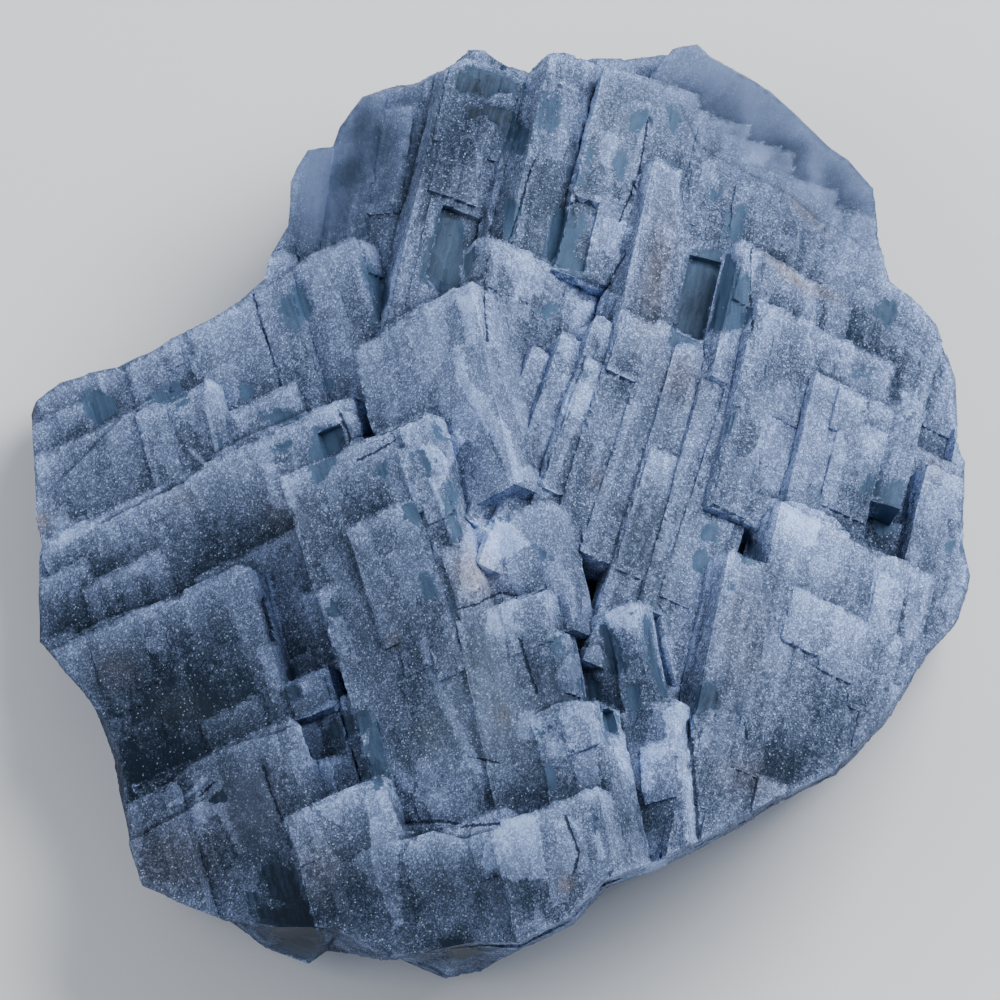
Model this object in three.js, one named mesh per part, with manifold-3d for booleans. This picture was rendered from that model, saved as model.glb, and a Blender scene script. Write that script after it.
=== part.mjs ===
// A pale blue fluorite specimen: a thick plate of intergrown cubes lying on its broken back, display face up.
// Millimetres, +Z up, origin at the middle of the footprint on the surface that it rests on.
//
// The display face is seen along a line of sight that leans VIEW_TILT away from straight down. Places on it are
// given in the display frame: x to the right, y up the face, z towards the viewer, origin at the face's middle.
import * as THREE from "three";
import { mergeVertices } from "three/addons/utils/BufferGeometryUtils.js";
import Module from "manifold-3d";

const wasm = await Module();
wasm.setup();

// Driving dimensions.
const VIEW_TILT = THREE.MathUtils.degToRad(25);
const FACE_HEIGHT = 36; // of the display frame's origin above the surface that the specimen rests on
const FACE_RADIUS = 47;
const RIM_FALL = 5; // how far the face curves down at its rim
const LEFT_SLOPE = 0.34; // how fast the face falls to the left of its crest
const RIGHT_SLOPE = 0.24;
const GROUND_DEPTH = 6; // from the mean face down to the tops of the small cubes between the large ones
const LAYER_COUNT = 70;
const EDGE = 0.3; // what a growth layer or a hollow leaves of the face along its edges
const CORE_DEPTH = 9; // from the mean face down to the massive core
const CORE_LOWEST = 7; // the core's least height at its rim

// Growth directions of the cubes. turn is the ridge's angle from straight down the face, to the right; lean brings
// its lower end towards the viewer; roll tilts the cube's left face away, and its right face by 90 less roll.
const LEFT_FAN = { turn: 17, lean: 20, roll: 22 };
const LOWER_LEFT = { turn: 17, lean: 20, roll: 20 };
const PROW = { turn: 13, lean: 27, roll: 33 };
const PROW_RIGHT = { turn: -4, lean: 30, roll: 56 };
const CENTRE = { turn: -20, lean: 30, roll: 74 };
const RIGHT_FAN = { turn: -13, lean: 31, roll: 60 };
const BROAD_RIGHT = { turn: -14, lean: 28, roll: 67 };
const LOWER = { turn: 12, lean: 20, roll: 26 };
const COLUMN = { turn: -13, lean: 24, roll: 76 };
const BACK_LEFT = { turn: -8, lean: 22, roll: 30 };
const CLEAR_RIGHT = { turn: -38, lean: 14, roll: 98 };

// The specimen's outline on the display face, clockwise from the left corner.
const OUTLINE = [
  [-47.3, 9.6], [-47.0, 10.9], [-44.5, 12.6], [-41.8, 13.7], [-38.7, 14.4], [-35.8, 15.6], [-33.0, 17.3],
  [-29.0, 19.3], [-26.1, 21.0], [-23.7, 23.1], [-22.7, 26.3], [-21.4, 28.8], [-21.1, 33.0], [-20.5, 34.9],
  [-19.4, 36.4], [-16.9, 36.8], [-16.2, 38.5], [-14.9, 40.4], [-13.8, 41.6], [-11.5, 42.5], [-8.4, 43.2],
  [-5.2, 45.0], [-3.1, 46.2], [-1.6, 46.1], [0.9, 44.8], [2.9, 44.0], [3.6, 45.0], [4.9, 46.3],
  [6.5, 46.4], [9.0, 45.5], [12.5, 45.4], [17.3, 46.7], [20.0, 47.1], [21.4, 46.1], [25.8, 43.7],
  [28.0, 42.1], [29.5, 40.5], [33.6, 36.6], [35.5, 35.5], [37.7, 32.5], [38.4, 27.9], [39.1, 23.3],
  [42.4, 20.7], [44.0, 18.8], [45.6, 13.4], [45.9, 7.0], [46.6, 4.8], [46.4, -1.6], [47.1, -6.7],
  [45.9, -11.3], [42.7, -14.6], [41.1, -17.2], [38.5, -21.4], [36.0, -24.2], [33.5, -26.4], [28.4, -29.0],
  [23.6, -31.8], [19.5, -34.1], [16.3, -35.8], [10.5, -38.1], [7.0, -41.4], [1.9, -44.0], [-2.2, -46.2],
  [-5.4, -47.1], [-8.5, -45.6], [-11.1, -44.8], [-17.5, -44.6], [-19.4, -45.9], [-23.5, -44.0], [-27.7, -41.1],
  [-32.1, -39.3], [-35.7, -37.6], [-37.1, -32.8], [-38.7, -26.7], [-39.6, -23.6], [-41.7, -18.8], [-44.9, -14.9],
  [-46.4, -13.3], [-46.6, -7.6], [-46.0, -3.8], [-46.8, -1.0], [-47.1, 3.8],
];

// A repeatable stream of numbers from 0 to 1.
function stream(seed) {
  let state = seed;
  return () => {
    state = (Math.imul(state, 1664525) + 1013904223) >>> 0;
    return state / 4294967296;
  };
}

const displayToRow = new THREE.Matrix4()
  .makeTranslation(0, 0, FACE_HEIGHT)
  .multiply(new THREE.Matrix4().makeRotationX(VIEW_TILT));

// The display frame's z of the point at display x, y that is height above the resting surface.
function depthAt(height, y) {
  return (height - FACE_HEIGHT - y * Math.sin(VIEW_TILT)) / Math.cos(VIEW_TILT);
}

// The mean face as a display z: a low crest that falls away to both sides and at the rim.
function meanFace(x, y) {
  const out = Math.hypot(x, y) / FACE_RADIUS;
  const left = LEFT_SLOPE * Math.max(0, -x - 4);
  const right = RIGHT_SLOPE * Math.max(0, x - 10);
  return depthAt(FACE_HEIGHT - left - right - RIM_FALL * out ** 3, y);
}

function solidFrom(geometry) {
  const bare = geometry.clone();
  bare.deleteAttribute("normal");
  bare.deleteAttribute("uv");
  const merged = mergeVertices(bare, 1e-4);
  return new wasm.Manifold(
    new wasm.Mesh({
      numProp: 3,
      vertProperties: new Float32Array(merged.attributes.position.array),
      triVerts: new Uint32Array(merged.index.array),
    }),
  );
}

// The directions of a cube's edges and outer faces in the display frame: up its ridge, and the outward normals of
// its left and right faces.
function cubeAxes({ turn, lean, roll }) {
  const t = THREE.MathUtils.degToRad(turn);
  const l = THREE.MathUtils.degToRad(lean);
  const up = new THREE.Vector3(-Math.sin(t) * Math.cos(l), Math.cos(t) * Math.cos(l), -Math.sin(l));
  const facing = new THREE.Vector3(0, 0, 1);
  facing.addScaledVector(up, -facing.dot(up)).normalize();
  const leftFace = facing.clone().applyAxisAngle(up, -THREE.MathUtils.degToRad(roll));
  const rightFace = facing.clone().applyAxisAngle(up, THREE.MathUtils.degToRad(90 - roll));
  return { up, leftFace, rightFace };
}

// A box whose top front corner is at corner, in the display frame. It runs down its ridge, and back to the left
// and to the right of it.
class Cube {
  constructor(corner, habit, down, left, right) {
    this.corner = corner;
    this.axes = cubeAxes(habit);
    this.down = down;
    this.left = left;
    this.right = right;
  }

  geometry() {
    const { up, leftFace, rightFace } = this.axes;
    const box = new THREE.BoxGeometry(this.right, this.down, this.left);
    box.translate(this.right / 2, -this.down / 2, -this.left / 2);
    const turned = new THREE.Matrix4().makeBasis(leftFace.clone().negate(), up, rightFace);
    turned.setPosition(this.corner);
    return box.applyMatrix4(turned);
  }

  // Where the line of sight at x, y first meets the cube: its display z and the outward normal of the face met, or
  // null where it misses.
  firstHit(x, y) {
    const { up, leftFace, rightFace } = this.axes;
    const from = new THREE.Vector3(x, y, 0).sub(this.corner);
    let hit = { z: Infinity, normal: null };
    let far = -Infinity;
    for (const [axis, depth] of [[leftFace, this.right], [up, this.down], [rightFace, this.left]]) {
      const outer = -from.dot(axis) / axis.z;
      const inner = (-depth - from.dot(axis)) / axis.z;
      const z = Math.max(outer, inner);
      if (z < hit.z) hit = { z, normal: outer > inner ? axis : axis.clone().negate() };
      far = Math.max(far, Math.min(outer, inner));
    }
    return hit.z > far ? hit : null;
  }

  surfaceAt(x, y) {
    const hit = this.firstHit(x, y);
    return hit && hit.z;
  }
}

const cubes = [];

// The display z of the face as built so far.
function faceAt(x, y) {
  let top = meanFace(x, y) - CORE_DEPTH;
  for (const cube of cubes) {
    const z = cube.surfaceAt(x, y);
    if (z !== null && z > top) top = z;
  }
  return top;
}

// Adds a cube whose top front corner is at display x, y. The corner stands step above what is behind it, its top
// edges start out clear of what is behind them, and it is at least lift above the mean face.
function grow(x, y, step, lift, habit, down, left, right) {
  const { leftFace, rightFace } = cubeAxes(habit);
  let z = Math.max(faceAt(x, y) + step, meanFace(x, y) + lift);
  for (const share of [0.25, 0.5]) {
    const onLeft = rightFace.clone().multiplyScalar(-left * share);
    const onRight = leftFace.clone().multiplyScalar(-right * share);
    for (const edge of [onLeft, onRight]) {
      z = Math.max(z, faceAt(x + edge.x, y + edge.y) + 0.4 * step - edge.z);
    }
  }
  cubes.push(new Cube(new THREE.Vector3(x, y, z), habit, down, left, right));
}

// Adds a cube whose top front corner is lift above the mean face at display x, y.
function seat(x, y, lift, habit, down, left, right) {
  const corner = new THREE.Vector3(x, y, meanFace(x, y) + lift);
  cubes.push(new Cube(corner, habit, down, left, right));
}

// Adds a row of narrow columns whose top front corners stand along the line between two display places, a little
// forward of or behind each other.
function bank([x0, y0], [x1, y1], count, lift, habit, down, seed) {
  const random = stream(seed);
  const wide = (1.9 * Math.hypot(x1 - x0, y1 - y0)) / count;
  for (let i = 0; i < count; i += 1) {
    const share = (i + 0.4 * random()) / count;
    const x = x0 + (x1 - x0) * share;
    const y = y0 + (y1 - y0) * share + random() - 0.5;
    const turned = { ...habit, turn: habit.turn + 3 * random() - 1.5 };
    const step = faceAt(x, y) + 0.2 - meanFace(x, y);
    seat(x, y, Math.max(lift + 0.6 * random(), step), turned, down * (0.8 + 0.4 * random()), 4, wide);
  }
}

function blend(a, b, share) {
  return {
    turn: a.turn + (b.turn - a.turn) * share,
    lean: a.lean + (b.lean - a.lean) * share,
    roll: a.roll + (b.roll - a.roll) * share,
  };
}

// The ground mass of small subparallel cubes, in a fan that turns from the left habit to the right one.
function growGroundMass() {
  const random = stream(11);
  const pitch = 8;
  for (let y = 50; y >= -46; y -= pitch) {
    for (let x = -50; x <= 50; x += pitch) {
      const px = x + (random() - 0.5) * pitch * 0.8;
      const py = y + (random() - 0.5) * pitch * 0.8;
      const share = THREE.MathUtils.smoothstep(px + 0.3 * py, -6, 10);
      const habit = blend(LEFT_FAN, RIGHT_FAN, share);
      habit.turn += (random() - 0.5) * 5;
      habit.lean += (random() - 0.5) * 4;
      const lift = 2 * random() - GROUND_DEPTH;
      seat(px, py, lift, habit, 16 + 6 * random(), 12 + 4 * random(), 12 + 4 * random());
    }
  }
}

// The thick cubes that the slabs and columns of the face stand on.
function growFoundation() {
  seat(-5, 14, -3.5, LEFT_FAN, 60, 40, 26);
  seat(3, 46, -2.5, RIGHT_FAN, 44, 18, 44);
  seat(24, 6, -1, BROAD_RIGHT, 54, 20, 26);
  seat(12, -8, -2.5, LOWER, 42, 24, 20);
}

// The cubes that can be told apart on the face, from the back of the stack to the front.
function growNamedCubes() {
  // Upper left: clear old crystals behind the stack.
  grow(-17.2, 36.8, 0.6, -3, BACK_LEFT, 24, 7, 5);
  grow(-11.8, 42.4, 0.8, -2.5, BACK_LEFT, 30, 9, 5);
  grow(-5.6, 45.2, 0.8, -2, BACK_LEFT, 34, 10, 3);
  grow(-5.0, 46.0, 0.8, -1.5, COLUMN, 36, 5, 11);

  // Upper right: the big clear crystal behind the long ledge.
  grow(19.0, 48.4, 0.3, -0.5, CLEAR_RIGHT, 22, 14, 38);

  // The long ledge from the top to the right rim, and the columns below it.
  grow(5.4, 47.0, 0.8, 1.0, RIGHT_FAN, 28, 4, 8);
  bank([10.2, 45.4], [39.6, 23.4], 7, 0.6, { turn: -13, lean: 27, roll: 83 }, 29, 31);
  grow(15.6, 35.4, 0.4, 0.6, RIGHT_FAN, 30, 3, 5);

  // The second ledge, with its own cubes below.
  grow(24.3, 26.9, 0.8, 1.0, RIGHT_FAN, 16, 3, 19);
  grow(26.0, 21.0, 0.8, 1.2, BROAD_RIGHT, 24, 4, 16);
  grow(31.8, 13.6, 0.5, 0.8, BROAD_RIGHT, 18, 3, 9);

  // Upper left slabs, each a step in front of the one above.
  grow(-22.0, 26.2, 1.4, -3, LEFT_FAN, 26, 30, 6);
  grow(-14.8, 27.4, 1.2, -1, LEFT_FAN, 28, 14, 5);
  grow(-29.0, 13.0, 1.2, -7, { turn: 15, lean: 20, roll: 24 }, 16, 25, 4);

  // Slabs of the left fan.
  grow(-14.9, 11.2, 1.6, -2, LEFT_FAN, 32, 37, 5);

  // The prow in the middle, with its lower right shoulder.
  grow(-1.3, 27.4, 2.0, 2.5, PROW_RIGHT, 16, 4, 15);
  grow(-3.2, 22.6, 1.4, 4.0, PROW, 23, 15, 8);

  // Columns of the right fan in the middle of the face.
  bank([3.0, 16.0], [12.0, 21.0], 3, 1.0, CENTRE, 26, 37);
  bank([12.0, 20.5], [26.0, 13.0], 5, 1.4, { turn: -17, lean: 30, roll: 77 }, 34, 43);

  // Lower right: the broad smooth face.
  grow(28.2, 0.4, 1.4, 1.0, BROAD_RIGHT, 48, 6.5, 18);
  grow(23.0, -4.0, 0.5, 0, { turn: -12, lean: 26, roll: 66 }, 40, 5, 10);
  grow(43.0, 4.5, 0.6, -4, BROAD_RIGHT, 34, 7, 8);

  // The front slab of the left fan, over the foot of the prow.
  grow(-7.4, 9.8, 0.8, 1, LEFT_FAN, 52, 17, 8);

  // Lower left slabs.
  grow(-25.5, -5.6, 2.2, -4, LOWER_LEFT, 20, 26, 6);
  grow(-21.1, -20.8, 1.8, -3, LOWER_LEFT, 26, 18, 6);
  grow(-33.0, -27.6, 1.2, -7, LOWER_LEFT, 18, 8, 4);
  grow(-12.0, -26.5, 1.0, -1, LOWER_LEFT, 26, 11, 6);

  // The white cube under the prow, and the stack below it.
  grow(4.6, 1.0, 1.2, 2, LOWER, 14, 11, 5);
  grow(4.2, -7.8, 1.2, 2, LOWER, 24, 10, 5);
  grow(13.6, -9.0, 1.2, 2, { turn: 11, lean: 20, roll: 28 }, 22, 9, 5);
  grow(9.4, -19.0, 1.2, 2, LOWER, 24, 7, 5);
  grow(17.0, -18.8, 1.8, 2, { turn: 6, lean: 20, roll: 28 }, 28, 9, 6);
  grow(0.4, -29.6, 1.2, 1, LOWER, 26, 12.5, 4);
  grow(9.6, -27.6, 1.2, 1, LOWER, 24, 12, 6);
}

// A flat patch of the face around display x, y: a plate with the cube's own directions, wide across and tall along
// the ridge, whose middle plane is the cube's face. It stays EDGE inside the face. Null where an end face is seen.
function patch(x, y, wide, tall, thick) {
  let seen = null;
  for (const cube of cubes) {
    const hit = cube.firstHit(x, y);
    if (hit && (!seen || hit.z > seen.z)) seen = { ...hit, cube };
  }
  const { up, leftFace, rightFace } = seen ? seen.cube.axes : {};
  if (!seen || (seen.normal !== leftFace && seen.normal !== rightFace)) return null;
  const onLeft = seen.normal === leftFace;
  const across = onLeft ? rightFace : leftFace;
  const from = new THREE.Vector3(x, y, seen.z).sub(seen.cube.corner);
  const span = (middle, size, reach) => [
    Math.max(middle - size / 2, EDGE - reach),
    Math.min(middle + size / 2, -EDGE),
  ];
  const [low, high] = span(from.dot(across), wide, onLeft ? seen.cube.left : seen.cube.right);
  const [foot, head] = span(from.dot(up), tall, seen.cube.down);
  if (high - low < 1 || head - foot < 1) return null;
  const plate = new THREE.BoxGeometry(high - low, head - foot, 2 * thick);
  plate.translate(((high + low) / 2) * (onLeft ? 1 : -1), (head + foot) / 2, 0);
  const sideways = onLeft ? across.clone() : across.clone().negate();
  const turned = new THREE.Matrix4().makeBasis(sideways, up, seen.normal);
  turned.setPosition(seen.cube.corner);
  return plate.applyMatrix4(turned);
}

// Thin growth layers that stop short on the cube faces.
function growthLayers() {
  const random = stream(23);
  const layers = [];
  for (let i = 0; i < LAYER_COUNT; i += 1) {
    const angle = 2 * Math.PI * random();
    const out = FACE_RADIUS * 0.92 * Math.sqrt(random());
    const wide = 3 + 7 * random() ** 2;
    const tall = 5 + 11 * random();
    const layer = patch(out * Math.cos(angle), out * Math.sin(angle), wide, tall, 0.2 + 0.3 * random());
    if (layer) layers.push(layer);
  }
  return layers;
}

// Hollows between the crystals: middle, width, height and depth.
function hollows() {
  const places = [
    [-17.2, -22.4, 9.0, 5.0, 1.6],
    [16.4, -14.0, 2.4, 8.0, 1.2],
    [10.6, -19.6, 3.0, 6.0, 1.0],
    [21.0, 21.0, 6.0, 9.0, 0.9],
    [-16.6, 6.4, 2.8, 4.0, 1.2],
    [7.4, 28.0, 4.0, 8.0, 0.8],
    [-4.6, 26.4, 4.6, 8.0, 0.8],
  ];
  return places.map(([x, y, wide, tall, deep]) => patch(x, y, wide, tall, deep)).filter(Boolean);
}

// A closed polyhedron from rings of row-frame points, all with the same number of points, lowest ring first.
function loft(rings) {
  const count = rings[0].length;
  const points = rings.flat();
  const bottom = points.length;
  const top = bottom + 1;
  const middle = (ring) => ring.reduce((sum, p) => sum.add(p), new THREE.Vector3()).divideScalar(count);
  const vertices = [...points, middle(rings[0]), middle(rings.at(-1))];
  const index = [];
  for (let i = 0; i < count; i += 1) {
    const j = (i + 1) % count;
    index.push(bottom, i, j);
    for (let k = 0; k + 1 < rings.length; k += 1) {
      const a = k * count + i;
      const b = k * count + j;
      index.push(a, a + count, b, b, a + count, b + count);
    }
    const last = (rings.length - 1) * count;
    index.push(top, last + j, last + i);
  }
  const geometry = new THREE.BufferGeometry();
  geometry.setAttribute("position", new THREE.Float32BufferAttribute(vertices.flatMap((v) => v.toArray()), 3));
  geometry.setIndex(index);
  return geometry;
}

// A ring of the outline at a height above the resting surface. inset says how far each point is drawn in, as a
// share.
function ring(height, inset) {
  return OUTLINE.map(([x, y], i) => {
    const s = 1 - inset(y, i);
    const shown = new THREE.Vector3(x * s, y * s, depthAt(height, y * s));
    return shown.applyMatrix4(displayToRow);
  });
}

// The broken sides and the flat back: rings of the outline, drawn in unevenly below its widest place. Above it the
// sides stand along the line of sight, but for three chips in the lower rim.
function envelope() {
  const random = stream(5);
  const uneven = OUTLINE.map(() => random());
  const rough = (i, share) => (uneven[i] + uneven[(i + 3) % uneven.length]) * 0.5 * share;
  const farSide = (y) => THREE.MathUtils.smoothstep(y, 12, 40);
  const bump = (distance, reach) => Math.max(0, 1 - Math.abs(distance) / reach);
  const chips = (i) => {
    const [x, y] = OUTLINE[i];
    const foot = y < -30 ? 0.09 * bump(x + 20, 7) + 0.07 * bump(x + 4, 6) : 0;
    const side = x < -30 ? 0.04 * bump(y + 26, 8) : 0;
    return 0.01 * uneven[(i * 7) % uneven.length] + foot + side;
  };
  return loft([
    ring(0, (y, i) => 0.2 + 0.14 * farSide(y) + rough(i, 0.06)),
    ring(2.5, (y, i) => 0.04 + 0.14 * farSide(y) + rough(i, 0.05)),
    ring(5.5, (y, i) => 0.012 * uneven[i] + 0.08 * farSide(y)),
    ring(24, (y, i) => chips(i)),
    ring(60, (y, i) => 0.05 + chips(i)),
  ]);
}

// A ring of the outline at a share of its width, sunk below the mean face.
function sunkRing(share) {
  return OUTLINE.map(([x, y]) => {
    const z = meanFace(x * share, y * share) - CORE_DEPTH - 2 * share ** 2;
    const lowest = depthAt(CORE_LOWEST, y * share);
    return new THREE.Vector3(x * share, y * share, Math.max(z, lowest)).applyMatrix4(displayToRow);
  });
}

// The massive core that fills the specimen from its flat back up to the crystals. It reaches past the broken sides,
// which cut it off.
function core() {
  const past = () => -0.02;
  return loft([ring(0, past), ring(4, past), sunkRing(1.02), sunkRing(0.75), sunkRing(0.5), sunkRing(0.25)]);
}

function joinAll(solids) {
  let level = solids;
  while (level.length > 1) {
    const next = [];
    for (let i = 0; i < level.length; i += 2) {
      next.push(i + 1 < level.length ? level[i].add(level[i + 1]) : level[i]);
    }
    level = next;
  }
  return level[0];
}

// The largest closed shell of a solid: without the voids that the cubes enclose and the crumbs that the rim cuts
// loose. Triangles that share an edge are in one shell.
function outerShell(solid) {
  const mesh = solid.getMesh();
  const loose = new THREE.BufferGeometry();
  loose.setAttribute("position", new THREE.BufferAttribute(new Float32Array(mesh.vertProperties), 3));
  loose.setIndex(Array.from(mesh.triVerts));
  const geometry = mergeVertices(loose.toNonIndexed(), 1e-3);
  const { position } = geometry.attributes;
  const all = geometry.index.array;
  const whole = [];
  for (let t = 0; t < all.length; t += 3) {
    const [a, b, c] = all.slice(t, t + 3);
    if (a !== b && b !== c && c !== a) whole.push([a, b, c]);
  }
  const parent = whole.map((_, i) => i);
  const root = (i) => {
    while (parent[i] !== i) {
      parent[i] = parent[parent[i]];
      i = parent[i];
    }
    return i;
  };
  const owner = new Map();
  whole.forEach((corners, i) => {
    corners.forEach((a, k) => {
      const b = corners[(k + 1) % 3];
      const edge = Math.min(a, b) * position.count + Math.max(a, b);
      if (owner.has(edge)) parent[root(i)] = root(owner.get(edge));
      else owner.set(edge, i);
    });
  });
  const volumes = new Map();
  whole.forEach((corners, i) => {
    const [a, b, c] = corners.map((v) => new THREE.Vector3().fromBufferAttribute(position, v));
    volumes.set(root(i), (volumes.get(root(i)) ?? 0) + a.dot(b.cross(c)) / 6);
  });
  const [largest] = [...volumes].reduce((a, b) => (b[1] > a[1] ? b : a));
  geometry.setIndex(whole.filter((_, i) => root(i) === largest).flat());
  return mergeVertices(geometry.toNonIndexed(), 1e-5);
}

growGroundMass();
growFoundation();
growNamedCubes();

const placed = (geometry) => solidFrom(geometry.applyMatrix4(displayToRow));
const stack = joinAll([...cubes.map((cube) => cube.geometry()), ...growthLayers()].map(placed));
const cleared = stack.subtract(joinAll(hollows().map(placed)));
const specimen = cleared.add(solidFrom(core())).intersect(solidFrom(envelope()));

const fluorite = new THREE.MeshStandardMaterial({ color: 0x8296b4, roughness: 0.45, metalness: 0 });
const shell = outerShell(specimen);
shell.computeBoundingBox();
const middle = shell.boundingBox.getCenter(new THREE.Vector3());
shell.translate(-middle.x, -middle.y, 0);
shell.computeVertexNormals();
const crystal = new THREE.Mesh(shell, fluorite);
crystal.name = "fluorite_crystal";

const group = new THREE.Group();
group.add(crystal);

export default group;
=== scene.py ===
"""Pale blue fluorite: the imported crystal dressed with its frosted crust, clear windows and tiny grown grains.

Lengths in this file are millimetres, and MM turns them into Blender's metres. Places on the display face are
in the display frame of the part: x to the right, y up the face, z towards the viewer, origin at the face's
middle.
"""

import math

import bpy
import numpy as np
from mathutils import Matrix, Vector, noise
from mathutils.bvhtree import BVHTree

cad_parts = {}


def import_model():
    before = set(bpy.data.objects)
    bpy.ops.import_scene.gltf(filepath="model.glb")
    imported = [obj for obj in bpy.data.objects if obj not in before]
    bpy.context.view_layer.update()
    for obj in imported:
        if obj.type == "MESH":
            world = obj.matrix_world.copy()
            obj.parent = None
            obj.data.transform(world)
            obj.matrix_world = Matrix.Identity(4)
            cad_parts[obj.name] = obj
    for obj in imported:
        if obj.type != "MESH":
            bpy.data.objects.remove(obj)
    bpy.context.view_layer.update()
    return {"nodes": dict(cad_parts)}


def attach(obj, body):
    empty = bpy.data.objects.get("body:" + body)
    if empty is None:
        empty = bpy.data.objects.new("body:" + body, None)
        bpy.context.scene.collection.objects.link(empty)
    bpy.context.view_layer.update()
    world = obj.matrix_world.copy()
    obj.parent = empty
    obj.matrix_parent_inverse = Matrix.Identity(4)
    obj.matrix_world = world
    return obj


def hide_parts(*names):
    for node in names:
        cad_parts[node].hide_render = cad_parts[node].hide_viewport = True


MM = 0.001
NODE = "fluorite_crystal"

# The display frame in the part's frame.
VIEW_TILT = math.radians(25)
DISPLAY_ORIGIN = np.array([0.0837, -6.5208, 36.0])
TO_ROW = np.array(Matrix.Rotation(VIEW_TILT, 3, "X"))
PIXELS_PER_MM = 10
PICTURE_MIDDLE = (500, 510)

# The fine surface.
PITCH = 0.435
BACK_SHARE = 0.28
CRUST = 0.14
BLOCK_RELIEF = 0.16
SPLINTER_RELIEF = 0.24
RIM_RELIEF = 0.35
RIB_RELIEF = 0.18
CLEFT_RELIEF = 0.35
WINDOW_SINK = 0.10
EDGE_CRUMB = 0.28
SHARP_ANGLE = math.radians(38)
MAP_PITCH = 0.25
MAP_HALF = 50
NOTHING_SEEN = -60.0
STEP_SEEN = 0.45
MARCH = 9.0
FRONT_BEHIND = 1.2
FRONT_FACING = -0.1
WINDOW_FACING = 0.30
FLOOR_FADE = 1.5

# Tiny grown grains: cube corners that stand out of the crust.
GRAINS = 46000
GRAIN_SMALLEST = 0.045
GRAIN_LARGEST = 0.12
GRAIN_TIP = 0.62
GRAIN_ROOT = 0.35
GRIT_SIZE = 0.13

# Growth directions of the cubes, in degrees, and where each habit is at home on the face.
HABITS = [
    (17, 20, 22, -27, 12),
    (17, 20, 20, -25, -22),
    (13, 27, 33, -5, 16),
    (-4, 30, 56, 3, 22),
    (-18, 30, 76, 10, 8),
    (-13, 27, 83, 22, 30),
    (-14, 28, 67, 32, -4),
    (12, 20, 26, 6, -26),
    (-13, 24, 76, -3, 40),
    (-8, 22, 30, -15, 38),
    (-38, 14, 98, 30, 40),
]

# The habits, by their place in that list, whose faces show long growth streaks.
STREAKED = (3, 4, 5, 6, 8, 9)


def at(px, py):
    """The place on the display face that the picture shows at a pixel."""
    return (px - PICTURE_MIDDLE[0]) / PIXELS_PER_MM, (PICTURE_MIDDLE[1] - py) / PIXELS_PER_MM


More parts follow.
